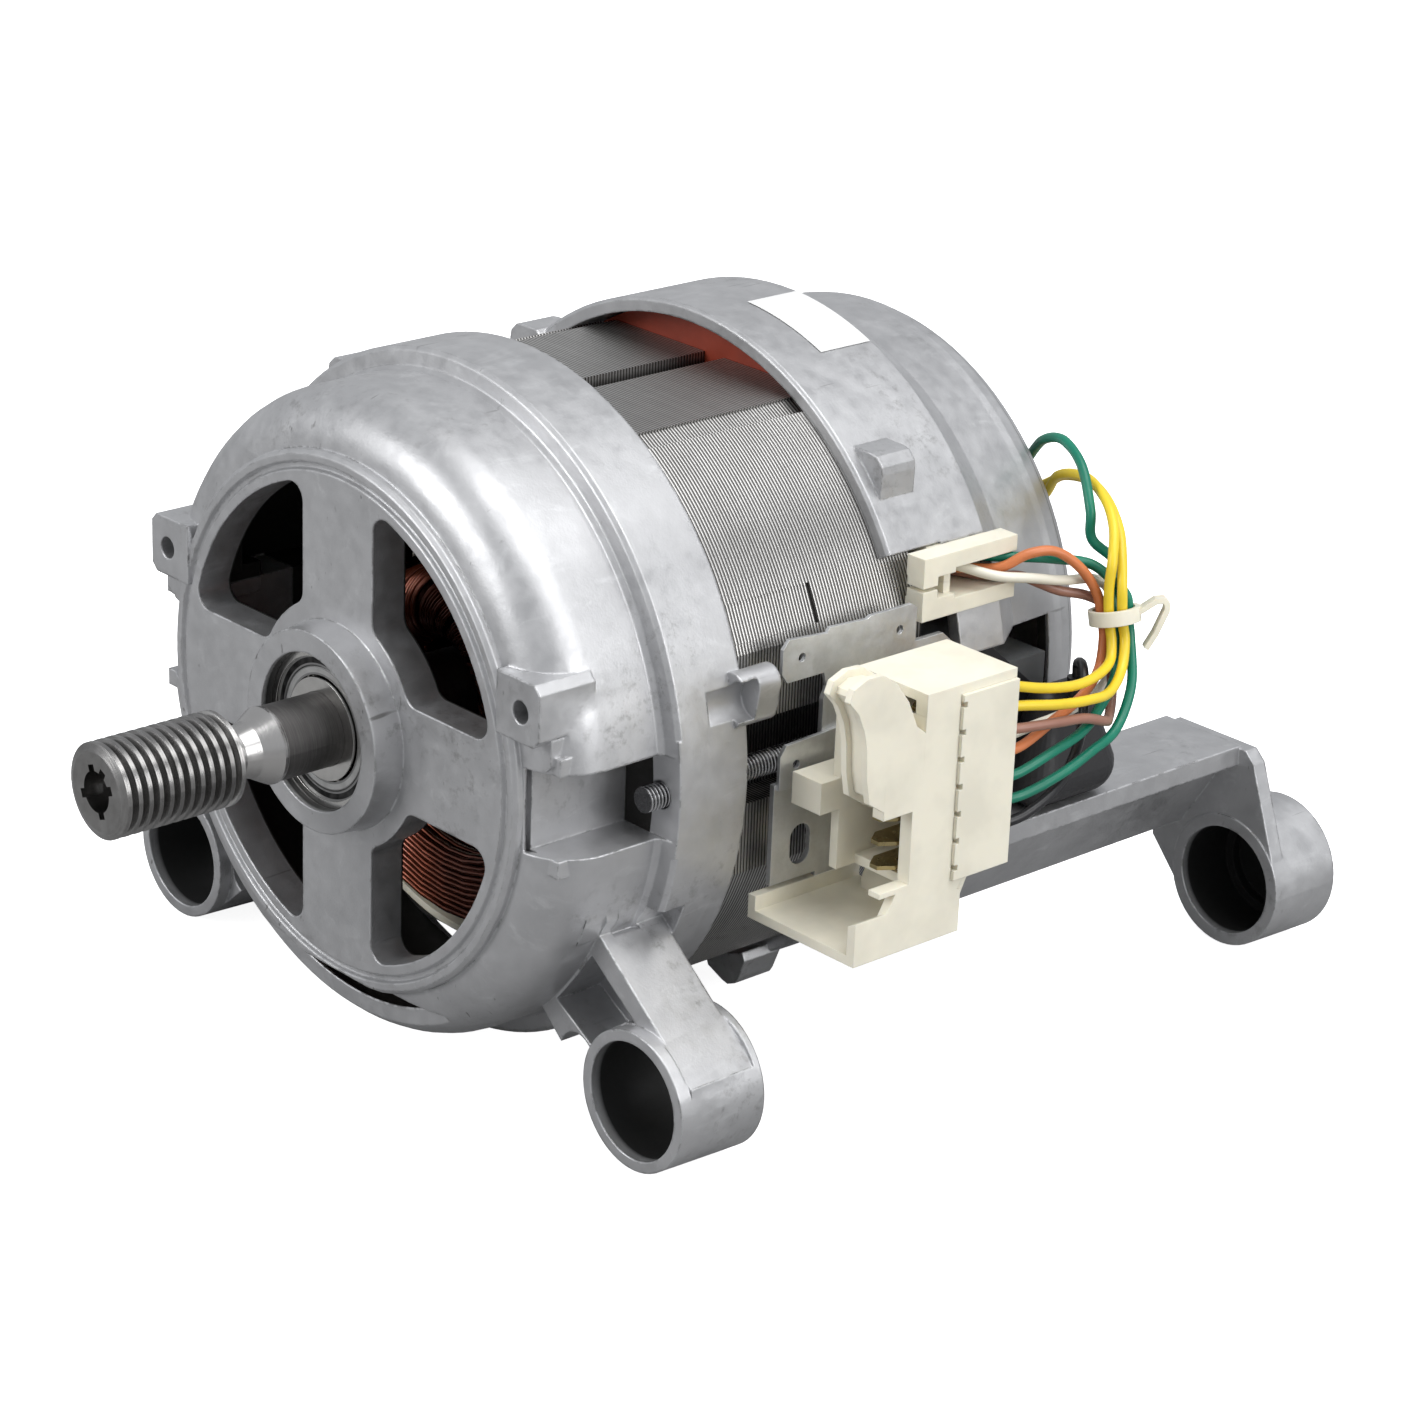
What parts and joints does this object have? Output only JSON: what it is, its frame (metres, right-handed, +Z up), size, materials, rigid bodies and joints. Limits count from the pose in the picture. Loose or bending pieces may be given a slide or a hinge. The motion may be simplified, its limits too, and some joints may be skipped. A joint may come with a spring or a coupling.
{
  "type": "washing machine motor",
  "caption": "Brushed universal motor with die-cast brackets, laminated stator, ribbed belt pulley, tacho and side connector.",
  "frame": {"origin": "on the shaft's axis, in the plane of the front mounting tubes' front faces", "axes": "+X to the connector side, +Y along the shaft away from the belt pulley, +Z up, away from the mounting tubes"},
  "size_m": [0.1867, 0.2581, 0.142],
  "materials": {
    "cast_aluminium": "die-cast, dull with scuffs",
    "laminations": "stacked electrical steel, satin",
    "zinc_plated": "zinc plated",
    "bearing_steel": "ground",
    "shield": "pressed sheet",
    "machined_steel": "turned",
    "copper": "enamelled wire",
    "commutator_copper": "turned",
    "brown_moulding": "moulded",
    "red_insulation": "moulded",
    "cream_plastic": "moulded",
    "black_plastic": "moulded",
    "grey_plastic": "moulded",
    "dark_magnet": "sintered",
    "carbon": "pressed",
    "sheet_metal": "stamped",
    "tinned_brass": "stamped",
    "green_wire": "extruded",
    "yellow_wire": "extruded",
    "orange_wire": "extruded",
    "brown_wire": "extruded",
    "white_wire": "extruded",
    "black_wire": "extruded"
  },
  "bodies": {
    "housing": {"front_bracket": "cast_aluminium", "rear_bracket": "cast_aluminium", "stator_core": "laminations", "front_pole_insulation": "cream_plastic", "rear_pole_insulation": "red_insulation", "upper_field_coil": "copper", "lower_field_coil": "copper", "through_bolts": "zinc_plated", "front_bearing_outer_ring": "bearing_steel", "front_bearing_shields": "shield", "rear_bearing_outer_ring": "bearing_steel", "wave_washer": "sheet_metal", "tacho_coil": "black_plastic", "tacho_cap": "black_plastic", "right_brush_spring": "sheet_metal", "left_brush_spring": "sheet_metal", "right_brush_holder": "grey_plastic", "left_brush_holder": "grey_plastic", "brush_holder_screws": "zinc_plated", "terminal_carrier": "sheet_metal", "earth_tab_strip": "sheet_metal", "connector_housing": "cream_plastic", "connector_cover": "cream_plastic", "connector_contacts": "tinned_brass", "upper_wire_grommet": "cream_plastic", "lower_wire_grommet": "cream_plastic", "green_wires": "green_wire", "yellow_wires": "yellow_wire", "orange_wire": "orange_wire", "brown_wire": "brown_wire", "white_wire": "white_wire", "black_wire": "black_wire", "cable_tie": "cream_plastic", "lead_boot": "black_plastic", "insulating_sheet": "black_plastic"},
    "rotor": {"rotor_shaft": "machined_steel", "rotor_core": "laminations", "rotor_winding": "copper", "rotor_end_turns": "copper", "commutator_hub": "brown_moulding", "commutator_bars": "commutator_copper", "front_bearing_inner_ring": "bearing_steel", "rear_bearing_inner_ring": "bearing_steel", "tacho_magnet": "dark_magnet"},
    "front_ball_set": {"front_bearing_balls": "bearing_steel"},
    "rear_ball_set": {"rear_bearing_balls": "bearing_steel"},
    "right_brush": {"right_brush": "carbon"},
    "left_brush": {"left_brush": "carbon"}
  },
  "joints": [
    {"name": "rotor_spin", "type": "hinge", "parent": "housing", "child": "rotor", "pos_m": [0, 0, 0], "axis": [0, 1, 0], "continuous": true},
    {"name": "front_cage_spin", "type": "hinge", "parent": "housing", "child": "front_ball_set", "pos_m": [0, 0, 0], "axis": [0, 1, 0], "continuous": true},
    {"name": "rear_cage_spin", "type": "hinge", "parent": "housing", "child": "rear_ball_set", "pos_m": [0, 0, 0], "axis": [0, 1, 0], "continuous": true},
    {"name": "right_brush_slide", "type": "slide", "parent": "housing", "child": "right_brush", "axis": [1, 0, 0], "range_m": [0, 0.006], "stiffness_N_per_m": 250, "springref_m": -0.02, "deforming": ["right_brush_spring"]},
    {"name": "left_brush_slide", "type": "slide", "parent": "housing", "child": "left_brush", "axis": [-1, 0, 0], "range_m": [0, 0.006], "stiffness_N_per_m": 250, "springref_m": -0.02, "deforming": ["left_brush_spring"]}
  ],
  "couplings": [
    {"joint": "front_cage_spin", "follows": "rotor_spin", "ratio": 0.384},
    {"joint": "rear_cage_spin", "follows": "rotor_spin", "ratio": 0.3778}
  ]
}
